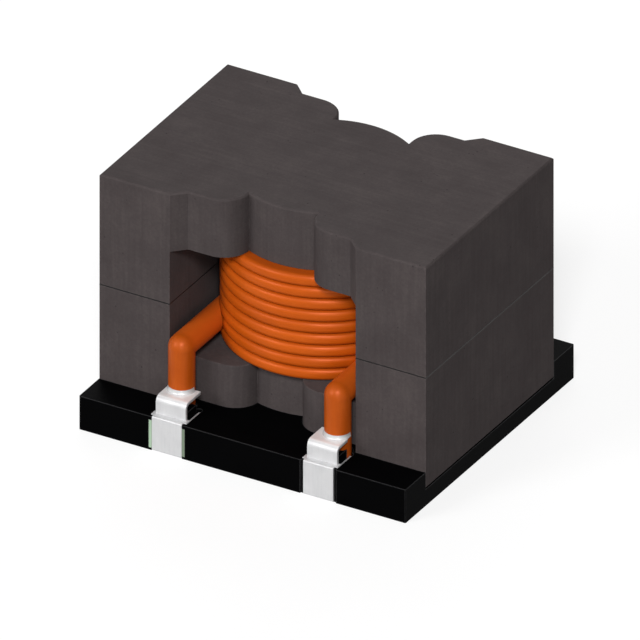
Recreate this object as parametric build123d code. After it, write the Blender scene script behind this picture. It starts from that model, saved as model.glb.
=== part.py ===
from build123d import *
import math
import os

# Flat wire inductor: a coil of flat copper wire wound on edge, held between two ferrite
# core halves, on a moulded base with two folded terminals. All sizes are in millimetres.
# X runs along the long side, the terminals are on the -Y side and Z points up. The origin
# is at the centre of the base's underside, on the board plane.

# Coil
wire_width = 2.5
wire_thickness = 0.975
turns = 9
coil_radius = 7.8
edge_facets = 6
coil_height = turns * wire_thickness
coil_inner_radius = coil_radius - wire_width

# Clearances round the coil
window_clearance = 0.025
leg_clearance = 0.35
post_clearance = 0.3

# Core halves
core_length = 27.4
core_depth = 18.6
flange_thickness = 4.85
shoulder_setback = 0.98
flange_arc_setback = 1.45
upper_lobe_radius = 2.05
upper_lobe_x = 4.95
back_right_lobe_shift = 0.6
lower_lobe_radius = 1.95
lower_lobe_x = 3.94
corner_slope_width = 1.0
core_edge_break = 0.12
leg_bond_thickness = 0.08
air_gap = 0.25
shoulder_depth = core_depth - 2 * shoulder_setback
flange_arc_radius = shoulder_depth / 2 - flange_arc_setback
window_height = coil_height + window_clearance
half_height = flange_thickness + (window_height - leg_bond_thickness) / 2
post_radius = coil_inner_radius - post_clearance
leg_wall_x = coil_radius
leg_relief_radius = coil_radius + leg_clearance

# Base
base_height = 2.8
rail_depth = 2.95
pocket_floor = 1.38
pocket_clearance = 0.03
base_bond_thickness = 0.06
base_bond_margin = 1.2
base_edge_break = 0.06
base_depth = core_depth + 2 * rail_depth
base_front = -base_depth / 2
core_bottom = pocket_floor + base_bond_thickness
seam_height = core_bottom + half_height
core_top = seam_height + leg_bond_thickness + half_height
coil_bottom = core_bottom + flange_thickness

# Leads
lead_diameter = 2.0
lead_to_flange_gap = 0.39
lead_to_coil_gap = 0.02
start_lead_rise = 1.49
finish_lead_rise = 1.23
lead_end_gap = 0.1
wire_hole_clearance = 0.1
start_lead_height = coil_bottom + start_lead_rise
finish_lead_height = coil_bottom + finish_lead_rise
lead_radius = lead_diameter / 2
lead_x = coil_radius - wire_width / 2
lead_y = -(shoulder_depth / 2 + lead_to_flange_gap + lead_radius)

# Terminals
sheet_thickness = 0.25
terminal_width = 2.5
terminal_inset = 0.2
ledge_lift = 0.05
ledge_depth = 0.58
riser_height = 1.4
shelf_overlap = 0.23
shelf_bend_radius = 0.5
plate_bend_radius = 0.12
foot_length = 2.4
notch_clearance = 0.03
notch_horn_trim = 0.4
seat_clearance = 0.02
ledge_height = base_height + ledge_lift
shelf_height = ledge_height + riser_height
lead_end_height = sheet_thickness + lead_end_gap
wire_hole_radius = lead_radius + wire_hole_clearance
terminal_x = lead_x - terminal_inset
riser_y = base_front + ledge_depth
shelf_back_y = lead_y + shelf_overlap

# Ears of the terminals, and the slots in the base that hold them
ear_top_inset = 0.15
ear_floor_gap = 0.1
ear_start = 0.3
ear_slot_slack = 0.22
ear_slot_floor = 0.6
ear_slot_end_wall = 0.15
ear_top = base_height - ear_top_inset
ear_bottom = ear_slot_floor + ear_floor_gap
ear_slot_width = sheet_thickness + ear_slot_slack
ear_inner = terminal_inset + lead_radius + notch_clearance
ear_outer = ear_inner + sheet_thickness
ear_slot_outer = ear_outer + seat_clearance
ear_slot_inner = ear_slot_outer - ear_slot_width
ear_slot_end_y = -(core_depth / 2 + pocket_clearance + ear_slot_end_wall)

# Bosses of the base, one under each shelf, that fit between the ears
boss_rise = 0.59
boss_setback = 0.3
boss_front_y = riser_y + sheet_thickness + seat_clearance
boss_half_width = ear_inner - seat_clearance

# Solder, grooves beside the plates and start mark
solder_height = 0.34
solder_width = 0.12
solder_wrap = 0.1
groove_depth = 0.12
mark_bottom = 0.2
mark_top_inset = 0.3
mark_top = base_height - mark_top_inset


def block(x_low, x_high, y_low, y_high, z_low, z_high):
    """A plain block between two corners."""
    middle = ((x_low + x_high) / 2, (y_low + y_high) / 2, (z_low + z_high) / 2)
    return Pos(*middle) * Box(x_high - x_low, y_high - y_low, z_high - z_low)


def disc(radius, z_low, z_high, x=0, y=0):
    """An upright cylinder between two heights."""
    return Pos(x, y, (z_low + z_high) / 2) * Cylinder(radius, z_high - z_low)


def sheet(x_low, x_high, y_low, y_high):
    """A flat rectangle between two corners."""
    middle = ((x_low + x_high) / 2, (y_low + y_high) / 2)
    return Pos(*middle) * Rectangle(x_high - x_low, y_high - y_low)


def even_lobes(lobe_x):
    """The same distance from the middle for all four lobes, by side in x and in y."""
    return {(x_side, y_side): lobe_x for x_side in (-1, 1) for y_side in (-1, 1)}


def shoulder(x_side, y_side, lobe_x, lobe_radius, grow):
    """One shoulder of a flange, whose inner front corner is rounded into a lobe."""
    inner_x = lobe_x - lobe_radius - grow
    end_x = core_length / 2 + grow
    shoulder_y = shoulder_depth / 2 + grow
    xs = sorted((x_side * inner_x, x_side * end_x))
    ys = sorted((-y_side * lobe_radius, y_side * shoulder_y))
    plan = sheet(*xs, *ys)
    inner_corner = (x_side * inner_x, y_side * shoulder_y)
    corner = plan.vertices().sort_by_distance(inner_corner)[0]
    return fillet(corner, lobe_radius + grow)


def flange_pieces(lobe_xs, lobe_radius, grow=0):
    """The overlapping pieces of a core half's outline from above, each grown all round."""
    end_x = core_length / 2 + grow
    leg_x = leg_wall_x - grow
    leg_y = core_depth / 2 + grow
    pieces = [Circle(flange_arc_radius + grow)]
    pieces.append(sheet(leg_x, end_x, -leg_y, leg_y))
    pieces.append(sheet(-end_x, -leg_x, -leg_y, leg_y))
    for (x_side, y_side), lobe_x in lobe_xs.items():
        pieces.append(shoulder(x_side, y_side, lobe_x, lobe_radius, grow))
    return pieces


def flange_plan(lobe_xs, lobe_radius, grow=0):
    """A core half's outline from above, with grow added all round it."""
    return Sketch() + flange_pieces(lobe_xs, lobe_radius, grow)


def corner_slopes():
    """The upper flange's corners, whose slopes run from the legs' fronts into the shoulders."""
    slopes = []
    for x_side in (-1, 1):
        for y_side in (-1, 1):
            slope_end_x = x_side * (leg_wall_x - 2 * corner_slope_width)
            slope_end_y = y_side * (core_depth / 2 - 2 * shoulder_setback)
            leg_corner = (x_side * leg_wall_x, y_side * core_depth / 2)
            end_corner = (x_side * core_length / 2, y_side * core_depth / 2)
            points = [leg_corner, (slope_end_x, slope_end_y), (slope_end_x, 0)]
            points += [(x_side * core_length / 2, 0), end_corner]
            slopes.append(make_face(Polyline(*points, close=True)))
    return slopes


def leg_plan():
    """Both legs from above, each with a round relief that clears the coil."""
    end_x = core_length / 2
    leg_y = core_depth / 2
    plan = sheet(leg_wall_x, end_x, -leg_y, leg_y)
    plan += sheet(-end_x, -leg_wall_x, -leg_y, leg_y)
    return plan - Circle(leg_relief_radius)


def core_half(pieces, post_height):
    """A core half that stands on its flange, with its legs and centre post up."""
    flange = extrude(Sketch() + pieces, flange_thickness - core_edge_break)
    for piece in pieces:
        flange += extrude(piece, core_edge_break, dir=(0, 0, -1), taper=45)
    flange = Pos(0, 0, core_edge_break) * flange
    legs = Pos(0, 0, flange_thickness) * extrude(leg_plan(), half_height - flange_thickness)
    post = disc(post_radius, flange_thickness, post_height)
    return flange + legs + post


def core_bottom_half():
    """The lower core half, whose post reaches the seam."""
    pieces = flange_pieces(even_lobes(lower_lobe_x), lower_lobe_radius)
    return Pos(0, 0, core_bottom) * core_half(pieces, half_height)


def core_top_half():
    """The upper core half, upside down, whose post is ground short for the air gap."""
    lobe_xs = even_lobes(upper_lobe_x)
    lobe_xs[(1, 1)] += back_right_lobe_shift
    pieces = flange_pieces(lobe_xs, upper_lobe_radius) + corner_slopes()
    post_height = half_height + leg_bond_thickness - air_gap
    standing = core_half(pieces, post_height)
    return Pos(0, 0, core_top) * mirror(standing, about=Plane.XY)


def leg_bond():
    """The two thin glue lines between the legs of the core halves."""
    return Pos(0, 0, seam_height) * extrude(leg_plan(), leg_bond_thickness)


def base_bond():
    """The glue pad between the lower core half and the base's pocket."""
    half_length = core_length / 2 - base_bond_margin
    half_depth = shoulder_depth / 2 - base_bond_margin
    pad = block(-half_length, half_length, -half_depth, half_depth, pocket_floor, core_bottom)
    under_core = flange_plan(even_lobes(lower_lobe_x), lower_lobe_radius, -core_edge_break)
    return pad & Pos(0, 0, pocket_floor) * extrude(under_core, base_bond_thickness)


def flat_wire_coil():
    """All the turns of the coil, bonded to each other, each with a rounded outer edge."""
    coil_top = coil_bottom + coil_height
    edge_radius = wire_thickness / 2
    edge_x = coil_radius - edge_radius
    points = [(coil_inner_radius, coil_top), (coil_inner_radius, coil_bottom)]
    for turn in range(turns):
        middle_z = coil_bottom + (turn + 0.5) * wire_thickness
        for facet in range(edge_facets):
            angle = math.pi * (facet / edge_facets - 0.5)
            x = edge_x + edge_radius * math.cos(angle)
            z = middle_z + edge_radius * math.sin(angle)
            points.append((x, z))
    points.append((edge_x, coil_top))
    profile = make_face(Polyline(*points, close=True))
    return revolve(Plane.XZ * profile, Axis.Z)


def lead(side, height):
    """A round lead: up from the terminal, round a ball elbow and back to the coil."""
    x = side * lead_x
    upright = disc(lead_radius, lead_end_height, height, x, lead_y)
    elbow = Pos(x, lead_y, height) * Sphere(lead_radius)
    run_length = -lead_y
    run = Pos(x, lead_y / 2, height) * Rot(90, 0, 0) * Cylinder(lead_radius, run_length)
    coil_room = disc(coil_radius + lead_to_coil_gap, coil_bottom, core_top)
    return upright + elbow + run - coil_room


def terminal_strip():
    """The bent strip of a terminal, from its foot to its shelf, centred on x = 0."""
    foot_y = base_front + foot_length
    shelf_low = shelf_height - sheet_thickness
    bend_y = riser_y + shelf_bend_radius
    bend_z = shelf_height - shelf_bend_radius
    inner_bend = shelf_bend_radius - sheet_thickness
    outline = Polyline(
        (riser_y, bend_z),
        (riser_y, ledge_height),
        (base_front, ledge_height),
        (base_front, 0),
        (foot_y, 0),
        (foot_y, sheet_thickness),
        (base_front + sheet_thickness, sheet_thickness),
        (base_front + sheet_thickness, ledge_height - sheet_thickness),
        (riser_y + sheet_thickness, ledge_height - sheet_thickness),
        (riser_y + sheet_thickness, bend_z),
    )
    outline += RadiusArc((riser_y + sheet_thickness, bend_z), (bend_y, shelf_low), inner_bend)
    outline += Polyline(
        (bend_y, shelf_low),
        (shelf_back_y, shelf_low),
        (shelf_back_y, shelf_height),
        (bend_y, shelf_height),
    )
    outline += RadiusArc((bend_y, shelf_height), (riser_y, bend_z), -shelf_bend_radius)
    profile = make_face(outline)
    corners = [v for v in profile.vertices() if abs(v.X - base_front) < seat_clearance]
    profile = fillet(corners, plate_bend_radius)
    return extrude(Plane.YZ * profile, terminal_width / 2, both=True)


def terminal_ears():
    """The two ears that bend down from the ledge's sides, centred on x = 0."""
    start_y = base_front + ear_start
    end_y = ear_slot_end_y - ear_slot_width / 2
    ledge_back_y = riser_y + sheet_thickness
    ledge_low = ledge_height - sheet_thickness
    ears = block(-ear_outer, ear_outer, start_y, ledge_back_y, ledge_low, ledge_height)
    for side in (-1, 1):
        xs = sorted((side * ear_inner, side * ear_outer))
        ears += block(*xs, start_y, end_y, ear_bottom, ear_top)
    return ears


def terminal(side):
    """A folded terminal, with a half-round notch in its shelf for the lead."""
    strip = Pos(side * terminal_x, 0, 0) * (terminal_strip() + terminal_ears())
    shelf_low = shelf_height - shelf_bend_radius
    notch = disc(lead_radius + notch_clearance, shelf_low, shelf_height, side * lead_x, lead_y)
    outer_xs = sorted((side * lead_x, side * (terminal_x + terminal_width)))
    horn_y = lead_y - notch_horn_trim
    horn = block(*outer_xs, horn_y, lead_y + lead_radius, shelf_low, shelf_height)
    return strip - notch - horn


def terminal_seat(side):
    """What the base leaves open for one terminal and its lead."""
    x = side * terminal_x
    half_width = terminal_width / 2 + seat_clearance
    plate_y = base_front + sheet_thickness
    ledge_y = boss_front_y
    ledge_low = ledge_height - sheet_thickness
    foot_y = base_front + foot_length + seat_clearance
    start_y = base_front + ear_start - seat_clearance
    round_y = ear_slot_end_y - ear_slot_width / 2
    seat = block(x - half_width, x + half_width, base_front, plate_y, 0, base_height)
    seat += block(x - half_width, x + half_width, base_front, ledge_y, ledge_low, base_height)
    seat += block(x - half_width, x + half_width, base_front, foot_y, 0, sheet_thickness)
    ledge_xs = (x - ear_slot_outer, x + ear_slot_outer)
    seat += block(*ledge_xs, start_y, ledge_y, ledge_low, base_height)
    for ear_side in (-1, 1):
        xs = sorted((x + ear_side * ear_slot_inner, x + ear_side * ear_slot_outer))
        seat += block(*xs, start_y, round_y, ear_slot_floor, base_height)
        seat += disc(ear_slot_width / 2, ear_slot_floor, base_height, sum(xs) / 2, round_y)
    seat += disc(wire_hole_radius, 0, base_height, side * lead_x, lead_y)
    return seat


def lead_boss(side):
    """The boss between a terminal's ears, with part of the wire hole in its back."""
    x = side * terminal_x
    top = base_height + boss_rise
    xs = (x - boss_half_width, x + boss_half_width)
    boss = block(*xs, boss_front_y, lead_y - boss_setback, ear_slot_floor, top)
    return boss - disc(wire_hole_radius, ear_slot_floor, top, side * lead_x, lead_y)


def plate_grooves(side, z_low, z_high):
    """Two shallow grooves in the base's front, one on each side of a terminal's plate."""
    grooves = []
    for groove_side in (-1, 1):
        inner = side * terminal_x + groove_side * (terminal_width / 2 + seat_clearance)
        outer = side * terminal_x + groove_side * ear_slot_outer
        xs = sorted((inner, outer))
        grooves.append(block(*xs, base_front, base_front + groove_depth, z_low, z_high))
    return grooves


def start_mark():
    """Two pale strips that fill the grooves beside the start terminal's plate."""
    return plate_grooves(-1, mark_bottom, mark_top)


def base_header():
    """The moulded base: a slab with a pocket for the core and seats for the terminals."""
    half_length = core_length / 2
    body = block(-half_length, half_length, base_front, -base_front, 0, base_height)
    body = chamfer(body.edges().filter_by(Axis.Z), base_edge_break)
    pocket_plan = flange_plan(even_lobes(lower_lobe_x), lower_lobe_radius, pocket_clearance)
    body -= Pos(0, 0, pocket_floor) * extrude(pocket_plan, base_height)
    for side in (-1, 1):
        body -= terminal_seat(side)
        body += lead_boss(side)
    for groove in start_mark() + plate_grooves(1, 0, base_height):
        body -= groove
    return body


def solder_fillet(side):
    """The collar of solder round the front half of a lead, on the terminal's shelf."""
    foot = (lead_radius + solder_width, 0)
    top = (lead_radius, solder_height)
    profile = Polygon(top, (lead_radius, 0), foot)
    ring = revolve(Plane.XZ * profile, Axis.Z)
    ring = Pos(side * lead_x, lead_y, shelf_height) * ring
    terminal_xs = (side * terminal_x - terminal_width / 2, side * terminal_x + terminal_width / 2)
    front_ys = (lead_y - lead_diameter, lead_y + solder_wrap)
    front_half = block(*terminal_xs, *front_ys, shelf_height, shelf_height + lead_diameter)
    return ring & front_half


def write(name, shape):
    """Write one node, as the solids that it holds."""
    export_step(shape, "parts/" + name + ".step")


os.makedirs("parts", exist_ok=True)
write("base_header", base_header())
write("core_bottom_half", core_bottom_half())
write("core_top_half", core_top_half())
write("core_leg_bond", leg_bond())
write("core_base_bond", base_bond())
write("flat_wire_coil", flat_wire_coil())
write("start_lead", lead(-1, start_lead_height))
write("finish_lead", lead(1, finish_lead_height))
write("start_terminal", terminal(-1))
write("finish_terminal", terminal(1))
write("start_solder", solder_fillet(-1))
write("finish_solder", solder_fillet(1))
write("start_mark", Compound(start_mark()))
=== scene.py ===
import bpy
import math
from mathutils import Matrix, Vector


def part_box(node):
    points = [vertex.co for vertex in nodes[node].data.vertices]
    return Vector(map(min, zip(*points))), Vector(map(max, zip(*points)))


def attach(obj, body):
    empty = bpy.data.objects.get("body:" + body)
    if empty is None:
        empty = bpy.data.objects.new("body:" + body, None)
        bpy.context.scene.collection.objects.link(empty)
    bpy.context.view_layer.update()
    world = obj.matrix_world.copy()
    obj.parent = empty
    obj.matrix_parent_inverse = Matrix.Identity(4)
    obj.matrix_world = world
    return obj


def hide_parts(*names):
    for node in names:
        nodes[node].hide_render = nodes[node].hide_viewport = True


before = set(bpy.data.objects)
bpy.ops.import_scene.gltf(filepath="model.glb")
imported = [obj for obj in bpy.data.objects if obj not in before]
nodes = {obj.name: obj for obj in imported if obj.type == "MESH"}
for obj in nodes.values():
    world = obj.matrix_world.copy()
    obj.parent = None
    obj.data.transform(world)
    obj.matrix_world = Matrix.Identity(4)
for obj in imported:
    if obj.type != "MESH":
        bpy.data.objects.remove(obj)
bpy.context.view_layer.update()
MM = 0.001
WHITE = (1, 1, 1)
BLACK = (0, 0, 0)

# The photograph's viewing angle in degrees, and the part of the object's plane in its frame
VIEW_AZIMUTH = 30
VIEW_ELEVATION = 30
FRAME_WIDTH = 46.51 * MM
VIEW_RIGHT_SHIFT = -0.478 * MM
VIEW_UP_SHIFT = 6.054 * MM
VIEW_DISTANCE = 200 * MM

# Widths of the rounded edges
BASE_EDGE = 0.06 * MM
CORE_EDGE = 0.045 * MM
SHEET_EDGE = 0.03 * MM

# Heights at which a finish changes: the ground top of the core, and the tops of the shelves
CORE_TOP = 19.94 * MM
SHELF_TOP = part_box("start_terminal")[1].z

# The coil: turns of flat wire on edge, whose radius differs a little from turn to turn
TURNS = 9
COIL_RADIUS = 7.8 * MM
COIL_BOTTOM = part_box("flat_wire_coil")[0].z
TURN_PITCH = (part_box("flat_wire_coil")[1].z - COIL_BOTTOM) / TURNS
TURN_GAP = 0.008 * MM
TURN_INSET = 0.012 * MM
TURN_SCATTER = 0.011 * MM
TURN_SCATTER_STEP = 2.3
WIRE_WIDTH = 2.5 * MM
WIRE_CORNER = 0.38 * MM

# The round leads, and the solder drawn up round their fronts
LEAD_Y = -9.71 * MM
LEAD_RADIUS = 1 * MM
SOLDER_WIDTH = 0.12 * MM

# Making: a turn that stands a flat outline up, a distance too small to see, the distances
# within which points merge, and the one within which a cut takes a point to lie on its plane
STANDING = (math.pi / 2, 0, 0)
HAIR = 0.001 * MM
COPY_MERGE = 0.001 * MM
SPIN_MERGE = 0.0005 * MM
CUT_TOLERANCE = 0.0001 * MM

# The floor: just under the object, and how strongly it glows white towards the camera
FLOOR_SIZE = 3
FLOOR_DROP = 0.01 * MM
FLOOR_GLOW = 0.74


class Value:
    """A node's output, with arithmetic on numbers that adds Math nodes."""

    def __init__(self, shading, socket):
        self.shading = shading
        self.socket = socket

    def __add__(self, other):
        return self.shading.maths("ADD", self, other)

    def __radd__(self, other):
        return self.shading.maths("ADD", other, self)

    def __sub__(self, other):
        return self.shading.maths("SUBTRACT", self, other)

    def __rsub__(self, other):
        return self.shading.maths("SUBTRACT", other, self)

    def __mul__(self, other):
        return self.shading.maths("MULTIPLY", self, other)

    def __rmul__(self, other):
        return self.shading.maths("MULTIPLY", other, self)

    def __truediv__(self, other):
        return self.shading.maths("DIVIDE", self, other)

    def __pow__(self, other):
        return self.shading.maths("POWER", self, other)


class Shading:
    """The nodes of a material or a world, which start empty."""

    def __init__(self, owner):
        owner.use_nodes = True
        self.tree = owner.node_tree
        self.tree.nodes.clear()

    def node(self, kind, settings=None, inputs=None, output=0):
        """Adds a node, sets it, feeds its sockets and gives one of its outputs."""
        node = self.tree.nodes.new(kind)
        for name, setting in (settings or {}).items():
            if name == "stops":
                self.set_stops(node.color_ramp, setting)
            else:
                setattr(node, name, setting)
        for name, value in (inputs or {}).items():
            self.feed(node.inputs[name], value)
        return Value(self, node.outputs[output])

    def set_stops(self, ramp, stops):
        """Gives a colour ramp its stops, each a place and a colour."""
        while len(ramp.elements) < len(stops):
            ramp.elements.new(1)
        for element, (place, colour) in zip(ramp.elements, stops):
            element.position = place
            element.color = (*colour, 1)

    def feed(self, socket, value):
        """Links a socket to another node's output, or writes a plain value to it."""
        if isinstance(value, Value):
            self.tree.links.new(value.socket, socket)
        elif socket.type == "RGBA":
            socket.default_value = (*value, 1)
        else:
            socket.default_value = value

    def show(self, kind, shader):
        """Adds the output node, which shows a shader on the surface."""
        self.feed(self.tree.nodes.new(kind).inputs["Surface"], shader)

    def maths(self, operation, *terms):
        """One Math node on numbers or values."""
        return self.node("ShaderNodeMath", {"operation": operation}, dict(enumerate(terms)))

    def blend(self, share, first, second):
        """A colour between two colours."""
        settings = {"data_type": "RGBA"}
        return self.node("ShaderNodeMix", settings, {0: share, 6: first, 7: second}, 2)

    def background_share(self):
        """1 for rays that see the background directly, in a reflection or through glass."""
        share = self.node("ShaderNodeLightPath", output="Is Camera Ray")
        for ray in ("Is Glossy Ray", "Is Transmission Ray"):
            share = self.maths("MAXIMUM", share, self.node("ShaderNodeLightPath", output=ray))
        return share


class Finish(Shading):
    """A material with one Principled shader, and the patterns that feed it."""

    def __init__(self, name):
        self.material = bpy.data.materials.new(name)
        super().__init__(self.material)
        self.place = self.node("ShaderNodeTexCoord", output="Object")

    def surface(self, **values):
        """Adds the shader, its sockets named with underscores, and gives the material."""
        inputs = {name.replace("_", " "): value for name, value in values.items()}
        shader = self.node("ShaderNodeBsdfPrincipled", inputs=inputs)
        self.show("ShaderNodeOutputMaterial", shader)
        return self.material

    def along(self, axis):
        """How far a place on the object lies along one axis, in metres."""
        return self.node("ShaderNodeSeparateXYZ", inputs={0: self.place}, output=axis)

    def vector(self, x, y, z):
        """A vector from three numbers or values."""
        return self.node("ShaderNodeCombineXYZ", inputs={0: x, 1: y, 2: z})

    def stretched(self, x, y, z):
        """The place on the object, scaled along each axis."""
        inputs = {0: self.place, 1: (x, y, z)}
        return self.node("ShaderNodeVectorMath", {"operation": "MULTIPLY"}, inputs)

    def smooth(self, start, end, value):
        """0 up to a start, 1 past an end, which may be the lower one, and smooth between."""
        settings = {"interpolation_type": "SMOOTHSTEP"}
        inputs = {"Value": value, "From Min": start, "From Max": end}
        return self.node("ShaderNodeMapRange", settings, inputs)

    def clamp(self, value):
        """The value, kept between 0 and 1."""
        return self.node("ShaderNodeClamp", inputs={"Value": value})

    def mix(self, share, first, second):
        """A number between two numbers."""
        return self.node("ShaderNodeMix", inputs={0: share, 2: first, 3: second})

    def noise(self, grains_per_mm, detail, roughness=0.5, vector=None):
        """Cloudy noise from 0 to 1, by how many of its grains lie in a millimetre."""
        inputs = {
            "Vector": vector or self.place,
            "Scale": grains_per_mm / MM,
            "Detail": detail,
            "Roughness": roughness,
        }
        return self.node("ShaderNodeTexNoise", inputs=inputs)

    def cells(self, per_mm):
        """How near scattered points are, by how many of them lie in a millimetre."""
        inputs = {"Vector": self.place, "Scale": per_mm / MM}
        return self.node("ShaderNodeTexVoronoi", inputs=inputs, output="Distance")

    def tone(self, *patterns):
        """A middle tone that patterns from 0 to 1 raise and lower, each by its strength."""
        tone = 0.5
        for pattern, strength in patterns:
            tone = tone + (pattern - 0.5) * strength
        return self.clamp(tone)

    def shades(self, tone, dark, middle, light):
        """The colour for a tone from 0 to 1, on a scale of three shades."""
        stops = [(0.0, dark), (0.5, middle), (1.0, light)]
        return self.node("ShaderNodeValToRGB", {"stops": stops}, {0: tone})

    def edge_nearness(self, radius):
        """0 on open surfaces, rising towards edges within a radius."""
        rounded = self.node("ShaderNodeBevel", {"samples": 6}, {"Radius": radius})
        plain = self.node("ShaderNodeNewGeometry", output="Normal")
        settings = {"operation": "DOT_PRODUCT"}
        return 1 - self.node("ShaderNodeVectorMath", settings, {0: rounded, 1: plain}, "Value")

    def bump(self, height, depth, strength):
        """A bump from a height of 0 to 1, with its full depth in metres."""
        inputs = {"Height": height, "Distance": depth, "Strength": strength}
        return self.node("ShaderNodeBump", inputs=inputs)


def linear(share):
    """The light that a screen gives for a share of its highest value."""
    if share <= 0.04045:
        return share / 12.92
    return ((share + 0.055) / 1.055) ** 2.4


def srgb(red, green, blue):
    """A colour as the shaders take it, from its values on a screen."""
    return tuple(linear(value / 255) for value in (red, green, blue))


def sintered_ferrite():
    """Dark grey pressed ferrite: fine grains, faint clouds, drag lines and worn edges."""
    finish = Finish("sintered_ferrite")
    top = finish.smooth(CORE_TOP - 0.06 * MM, CORE_TOP - 0.01 * MM, finish.along("Z"))
    clouds = finish.noise(0.3, 4, 0.6)
    grains = finish.noise(5, 4, 0.7)
    drag = finish.noise(3, 3, 0.6, finish.stretched(1, 1, 0.05))
    ground = finish.noise(3, 4, 0.65, finish.stretched(0.04, 1, 1))
    lines = finish.mix(top, drag, ground)
    pitted = finish.smooth(0.54, 0.64, finish.noise(0.9, 2))
    pit = finish.smooth(0.14, 0.08, finish.cells(1.7)) * pitted
    worn = finish.smooth(0.4, 0.62, finish.noise(1.6, 4, 0.7))
    wear = finish.clamp(finish.edge_nearness(0.2 * MM) * 3) * worn
    tone = finish.tone((clouds, 0.7), (grains, 0.55), (lines, 0.4))
    colour = finish.shades(tone, srgb(58, 52, 52), srgb(71, 65, 65), srgb(86, 79, 78))
    colour = finish.blend(wear * 0.4, colour, srgb(112, 105, 103))
    colour = finish.blend(pit * 0.5, colour, srgb(34, 31, 31))
    height = grains * 0.4 + lines * 0.35 + clouds * 0.15 - pit * 0.6 - wear * 0.25
    return finish.surface(
        Base_Color=colour,
        Roughness=0.5 + grains * 0.2 + pit * 0.2 - wear * 0.1,
        Specular_IOR_Level=0.015,
        Normal=finish.bump(height, 0.02 * MM, 0.7),
    )


def enamelled_coil():
    """Flat copper wire under amber enamel, turn above turn, with faint drawing lines and
    painted shade in the grooves between turns.
    """
    finish = Finish("enamelled_coil")
    x = finish.along("X")
    y = finish.along("Y")
    z = finish.along("Z")
    length = finish.maths("ARCTAN2", y, x) * COIL_RADIUS
    radius = (x * x + y * y) ** 0.5
    level = (z - COIL_BOTTOM) / TURN_PITCH
    turn = finish.maths("FLOOR", level)
    shade = finish.node("ShaderNodeTexWhiteNoise", {"noise_dimensions": "1D"}, {"W": turn})
    drawn = finish.noise(9, 3, 0.65, finish.vector(length * 0.12, radius, z))
    clouds = finish.noise(0.45, 3, 0.5, finish.vector(length * 0.6, radius, z))
    # Painted shade: the wire is painted darker along the grooves between turns, where shade
    # falls
    groove_shade = finish.smooth(0.30, 0.02, finish.maths("PINGPONG", level, 0.5))
    tone = finish.tone((clouds, 0.8), (drawn, 0.35), (shade, 0.22))
    colour = finish.shades(tone, srgb(171, 72, 9), srgb(187, 81, 13), srgb(201, 91, 20))
    return finish.surface(
        Base_Color=finish.blend(groove_shade * 0.3, colour, srgb(130, 48, 6)),
        Metallic=0.1,
        Roughness=0.32 + drawn * 0.12,
        Specular_IOR_Level=0.12,
        Normal=finish.bump(drawn, 0.008 * MM, 0.5),
    )


def enamelled_lead():
    """Round copper wire under amber enamel, its level run painted lighter against the shade
    that falls on it.
    """
    finish = Finish("enamelled_lead")
    run = finish.smooth(LEAD_Y - 0.4 * MM, LEAD_Y + 0.5 * MM, finish.along("Y"))
    clouds = finish.noise(0.6, 3, 0.5)
    upright = finish.noise(8, 3, 0.6, finish.stretched(1, 1, 0.06))
    level = finish.noise(8, 3, 0.6, finish.stretched(1, 0.06, 1))
    drawn = finish.mix(run, upright, level)
    tone = finish.tone((clouds, 0.8), (drawn, 0.4))
    colour = finish.shades(tone, srgb(158, 66, 9), srgb(173, 75, 13), srgb(187, 86, 19))
    return finish.surface(
        # Painted light: the level run is painted lighter, to lift the shade that the core
        # casts on it
        Base_Color=finish.blend(run * 0.7, colour, srgb(204, 92, 26)),
        Metallic=0.12,
        Roughness=0.34 + drawn * 0.12,
        Specular_IOR_Level=0.14,
        Normal=finish.bump(drawn, 0.008 * MM, 0.5),
    )


def tinned_sheet():
    """Tin plated sheet, satin, with rolling lines, and the top of its shelf painted near white
    as a highlight.
    """
    finish = Finish("tinned_sheet")
    rolled = finish.noise(6, 3, 0.6, finish.stretched(1, 0.08, 0.08))
    patches = finish.noise(1.1, 3, 0.55)
    # Painted highlight: the top of the shelf is painted near white, and made a little smoother
    shelf_highlight = finish.smooth(SHELF_TOP - 0.12 * MM, SHELF_TOP - 0.02 * MM, finish.along("Z"))
    tone = finish.tone((rolled, 0.5), (patches, 0.7))
    colour = finish.shades(tone, srgb(186, 186, 188), srgb(202, 202, 203), srgb(213, 213, 213))
    return finish.surface(
        Base_Color=finish.blend(shelf_highlight * 0.8, colour, srgb(240, 240, 240)),
        Metallic=0.28,
        Roughness=0.36 + patches * 0.18 - shelf_highlight * 0.08,
        Normal=finish.bump(rolled, 0.006 * MM, 0.5),
    )


def black_thermoset():
    """Black moulded plastic with a fine spark texture, and grey edges that are part rubbing,
    part painted highlight.
    """
    finish = Finish("black_thermoset")
    grains = finish.noise(10, 3, 0.6)
    flow = finish.noise(0.4, 3, 0.5, finish.stretched(0.5, 1, 1))
    # Every edge is painted grey all round: part rubbing, part painted highlight along the rims
    rubbed_and_highlit_edges = finish.clamp(finish.edge_nearness(0.12 * MM) * 4)
    colour = finish.blend(grains * 0.5 + flow * 0.5, srgb(1, 1, 1), srgb(5, 5, 6))
    return finish.surface(
        Base_Color=finish.blend(rubbed_and_highlit_edges, colour, srgb(64, 64, 65)),
        Roughness=0.46 + grains * 0.16,
        Specular_IOR_Level=0.01,
        Normal=finish.bump(grains, 0.012 * MM, 0.5),
    )


def bright_solder():
    """Smooth bright solder, a little frosted."""
    finish = Finish("bright_solder")
    frost = finish.noise(5, 3, 0.6)
    return finish.surface(
        Base_Color=finish.blend(frost, srgb(186, 186, 187), srgb(206, 206, 206)),
        Metallic=0.35,
        Roughness=0.34 + frost * 0.12,
        Normal=finish.bump(frost, 0.006 * MM, 0.3),
    )


def dark_epoxy():
    """The dark glue in the joints of the core."""
    finish = Finish("dark_epoxy")
    lumps = finish.noise(3, 2)
    return finish.surface(
        Base_Color=finish.blend(lumps, srgb(8, 7, 7), srgb(20, 18, 18)),
        Roughness=0.4,
        Specular_IOR_Level=0.2,
        Normal=finish.bump(lumps, 0.02 * MM, 0.5),
    )


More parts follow.
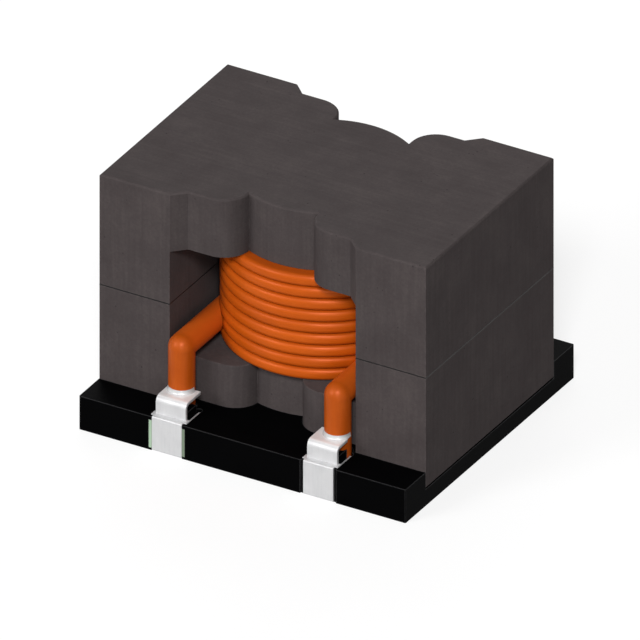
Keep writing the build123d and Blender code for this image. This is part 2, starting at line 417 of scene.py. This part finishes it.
def pale_green_paint():
    """Pale green marking paint, its right strip painted darker as shade."""
    finish = Finish("pale_green_paint")
    low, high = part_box("start_mark")
    middle = (low.x + high.x) / 2
    # Painted shade: the right strip, which turns towards the side, takes a darker copy of the
    # green
    right = finish.smooth(middle - 0.25 * MM, middle + 0.25 * MM, finish.along("X"))
    brush = finish.noise(5, 3, 0.6, finish.stretched(1, 1, 0.15))
    bright = finish.blend(brush, srgb(152, 178, 152), srgb(170, 192, 166))
    shaded_green = finish.blend(brush, srgb(102, 117, 98), srgb(120, 134, 115))
    return finish.surface(Base_Color=finish.blend(right, bright, shaded_green), Roughness=0.45)


def deselect():
    """Leaves nothing selected."""
    bpy.ops.object.select_all(action="DESELECT")


def make_active(piece):
    """Selects one piece alone, for the operators that follow."""
    deselect()
    piece.select_set(True)
    bpy.context.view_layer.objects.active = piece


def select_where(piece, test):
    """Selects the vertices whose place passes a test, in edit mode."""
    bpy.ops.object.mode_set(mode="OBJECT")
    for part in (piece.data.vertices, piece.data.edges, piece.data.polygons):
        part.foreach_set("select", [False] * len(part))
    for vertex in piece.data.vertices:
        vertex.select = bool(test(vertex.co))
    bpy.ops.object.mode_set(mode="EDIT")


def size_outline(width, height):
    """Gives the outline just added its width and height, for good."""
    outline = bpy.context.object
    outline.scale = (width, height, 1)
    bpy.ops.object.transform_apply(location=True, rotation=True, scale=True)
    return outline


def spin_outline(centre, steps):
    """Spins the outline in edit mode once round an upright line, into a closed skin."""
    bpy.ops.mesh.select_all(action="SELECT")
    bpy.ops.mesh.spin(steps=steps, angle=2 * math.pi, center=centre, axis=(0, 0, 1))
    bpy.ops.mesh.select_all(action="SELECT")
    bpy.ops.mesh.remove_doubles(threshold=SPIN_MERGE)
    bpy.ops.mesh.normals_make_consistent(inside=False)
    bpy.ops.object.mode_set(mode="OBJECT")


def cut_away(piece, place, direction):
    """Cuts off what lies past a plane, and closes the cut."""
    make_active(piece)
    bpy.ops.object.mode_set(mode="EDIT")
    bpy.ops.mesh.select_all(action="SELECT")
    bpy.ops.mesh.bisect(
        plane_co=place, plane_no=direction, use_fill=True, clear_outer=True,
        threshold=CUT_TOLERANCE,
    )
    bpy.ops.object.mode_set(mode="OBJECT")


def apply_modifier(piece, kind, **settings):
    """Adds a modifier, sets it and applies it."""
    modifier = piece.modifiers.new("shape", kind)
    for name, value in settings.items():
        setattr(modifier, name, value)
    make_active(piece)
    bpy.ops.object.modifier_apply(modifier=modifier.name)


def dress(node, material):
    """Gives all of a node's material slots one material."""
    for slot in nodes[node].material_slots:
        slot.material = material


def finish_piece(piece, name, material, node):
    """Names a piece, gives it its material, hangs it on the root and hides the node it stands
    for.
    """
    piece.name = name
    piece.data.name = name
    piece.data.materials.clear()
    piece.data.materials.append(material)
    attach(piece, "root")
    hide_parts(node)


def round_the_edges(node, name, width, material):
    """A copy of a node whose sharp edges are slightly rounded, which stands for it."""
    piece = bpy.data.objects.new(name, nodes[node].data.copy())
    bpy.context.scene.collection.objects.link(piece)
    make_active(piece)
    bpy.ops.mesh.customdata_custom_splitnormals_clear()
    bpy.ops.object.mode_set(mode="EDIT")
    bpy.ops.mesh.select_all(action="SELECT")
    bpy.ops.mesh.remove_doubles(threshold=COPY_MERGE)
    bpy.ops.mesh.dissolve_limited(angle_limit=math.radians(0.6))
    bpy.ops.object.mode_set(mode="OBJECT")
    sharp = {"limit_method": "ANGLE", "angle_limit": math.radians(35)}
    apply_modifier(piece, "BEVEL", width=width, segments=2, **sharp)
    bpy.ops.object.shade_smooth_by_angle(angle=math.radians(50))
    apply_modifier(piece, "WEIGHTED_NORMAL", mode="FACE_AREA", weight=50, keep_sharp=True)
    finish_piece(piece, name, material, node)


def wind_turn(index):
    """One turn of flat wire on edge: a section with round corners, spun round the middle."""
    outer = COIL_RADIUS - TURN_INSET - TURN_SCATTER * math.sin(index * TURN_SCATTER_STEP)
    middle = (outer - WIRE_WIDTH / 2, 0, COIL_BOTTOM + (index + 0.5) * TURN_PITCH)
    deselect()
    bpy.ops.mesh.primitive_plane_add(size=1, location=middle, rotation=STANDING)
    turn = size_outline(WIRE_WIDTH, TURN_PITCH - TURN_GAP)
    bpy.ops.object.mode_set(mode="EDIT")
    bpy.ops.mesh.select_all(action="SELECT")
    bpy.ops.mesh.bevel(offset=WIRE_CORNER, segments=7, affect="VERTICES")
    bpy.ops.mesh.select_all(action="SELECT")
    bpy.ops.mesh.delete(type="ONLY_FACE")
    spin_outline(centre=(0, 0, 0), steps=144)
    return turn


def wind_coil(material):
    """The coil: level turns of flat wire, one on another."""
    turns = [wind_turn(index) for index in range(TURNS)]
    deselect()
    for turn in turns:
        turn.select_set(True)
    bpy.context.view_layer.objects.active = turns[0]
    bpy.ops.object.join()
    coil = bpy.context.object
    bpy.ops.object.shade_smooth()
    finish_piece(coil, "wound_coil", material, "flat_wire_coil")


def draw_up_solder(node, lead, side, name, material):
    """Solder drawn up round the front of a lead: a hollow wedge, spun round the lead."""
    low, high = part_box(node)
    lead_low, lead_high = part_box(lead)
    axis = ((lead_low.x + lead_high.x) / 2, LEAD_Y, 0)
    skin_x = axis[0] + LEAD_RADIUS
    edge_x = skin_x + SOLDER_WIDTH
    deselect()
    bpy.ops.mesh.primitive_circle_add(
        vertices=40, radius=1, fill_type="NOTHING",
        location=(edge_x, LEAD_Y, high.z), rotation=STANDING,
    )
    piece = size_outline(SOLDER_WIDTH, high.z - low.z)

    # Only the hollow quarter by the lead stays, and the rest shrinks to the wedge's corner
    select_where(piece, lambda place: place.x > edge_x + HAIR or place.z > high.z + HAIR)
    cursor = bpy.context.scene.cursor
    cursor.location = (skin_x - HAIR, LEAD_Y, low.z)
    bpy.ops.mesh.merge(type="CURSOR")
    cursor.location = (0, 0, 0)
    spin_outline(centre=axis, steps=72)

    # The wedge ends at its node's back and outer side
    outer_x = low.x if side < 0 else high.x
    cut_away(piece, (0, high.y, 0), (0, 1, 0))
    cut_away(piece, (outer_x, 0, 0), (side, 0, 0))
    make_active(piece)
    bpy.ops.object.shade_smooth_by_angle(angle=math.radians(40))
    finish_piece(piece, name, material, node)


def towards(azimuth, elevation):
    """A direction, by its side and its height in degrees: 0, 0 is straight to the front."""
    side = math.radians(azimuth)
    height = math.radians(elevation)
    level = math.cos(height)
    return Vector((math.sin(side) * level, -math.cos(side) * level, math.sin(height)))


def add_camera():
    """A parallel view from the photograph's angle, framed as it is."""
    right = towards(VIEW_AZIMUTH + 90, 0)
    back = towards(VIEW_AZIMUTH, VIEW_ELEVATION)
    up = back.cross(right)
    data = bpy.data.cameras.new("photograph_view")
    data.type = "ORTHO"
    data.ortho_scale = FRAME_WIDTH
    data.clip_start = 0.001
    data.clip_end = 10
    camera = bpy.data.objects.new("photograph_view", data)
    camera.matrix_world = Matrix((right, up, back)).transposed().to_4x4()
    camera.location = right * VIEW_RIGHT_SHIFT + up * VIEW_UP_SHIFT + back * VIEW_DISTANCE
    bpy.context.scene.collection.objects.link(camera)
    bpy.context.scene.camera = camera


def add_world(strength):
    """Even white light from all round, and a plain white background."""
    world = bpy.data.worlds.new("studio")
    shading = Shading(world)
    light = shading.node("ShaderNodeBackground", inputs={"Color": WHITE, "Strength": strength})
    backdrop = shading.node("ShaderNodeBackground", inputs={"Color": WHITE, "Strength": 1})
    inputs = {0: shading.background_share(), 1: light, 2: backdrop}
    shading.show("ShaderNodeOutputWorld", shading.node("ShaderNodeMixShader", inputs=inputs))
    bpy.context.scene.world = world


def add_sun(name, azimuth, elevation, strength, softness):
    """A soft distant lamp, by the side and the height that it shines from, in degrees."""
    data = bpy.data.lights.new(name, "SUN")
    data.energy = strength
    data.angle = math.radians(softness)
    lamp = bpy.data.objects.new(name, data)
    lamp.rotation_mode = "QUATERNION"
    lamp.rotation_quaternion = towards(azimuth, elevation).to_track_quat("Z", "Y")
    bpy.context.scene.collection.objects.link(lamp)


def add_floor():
    """A plain white floor that keeps the object's shadow."""
    deselect()
    bpy.ops.mesh.primitive_plane_add(size=FLOOR_SIZE, location=(0, 0, 0))
    floor = bpy.context.object
    floor.name = "studio_floor"
    floor.data.transform(Matrix.Translation((0, 0, -FLOOR_DROP)))
    finish = Finish("studio_floor")
    floor.data.materials.append(finish.surface(
        Base_Color=(0.3, 0.3, 0.3),
        Roughness=1.0,
        Specular_IOR_Level=0.0,
        Emission_Color=finish.blend(finish.background_share(), BLACK, WHITE),
        Emission_Strength=FLOOR_GLOW,
    ))


ferrite = sintered_ferrite()
tinned = tinned_sheet()
lead_copper = enamelled_lead()
solder = bright_solder()
epoxy = dark_epoxy()
round_the_edges("base_header", "moulded_base", BASE_EDGE, black_thermoset())
round_the_edges("core_bottom_half", "lower_core", CORE_EDGE, ferrite)
round_the_edges("core_top_half", "upper_core", CORE_EDGE, ferrite)
round_the_edges("start_terminal", "left_terminal", SHEET_EDGE, tinned)
round_the_edges("finish_terminal", "right_terminal", SHEET_EDGE, tinned)
wind_coil(enamelled_coil())
dress("core_leg_bond", epoxy)
dress("core_base_bond", epoxy)
dress("start_lead", lead_copper)
dress("finish_lead", lead_copper)
draw_up_solder("start_solder", "start_lead", -1, "left_solder", solder)
draw_up_solder("finish_solder", "finish_lead", 1, "right_solder", solder)
dress("start_mark", pale_green_paint())

add_camera()
add_world(strength=0.14)
add_sun("key", azimuth=27, elevation=41, strength=2.15, softness=12)
add_sun("left_fill", azimuth=-32, elevation=28, strength=1.35, softness=26)
add_sun("low_fill", azimuth=30, elevation=5, strength=0.6, softness=25)
add_sun("back_fill", azimuth=205, elevation=30, strength=0.9, softness=50)
add_floor()
bpy.context.scene.view_settings.view_transform = "Standard"
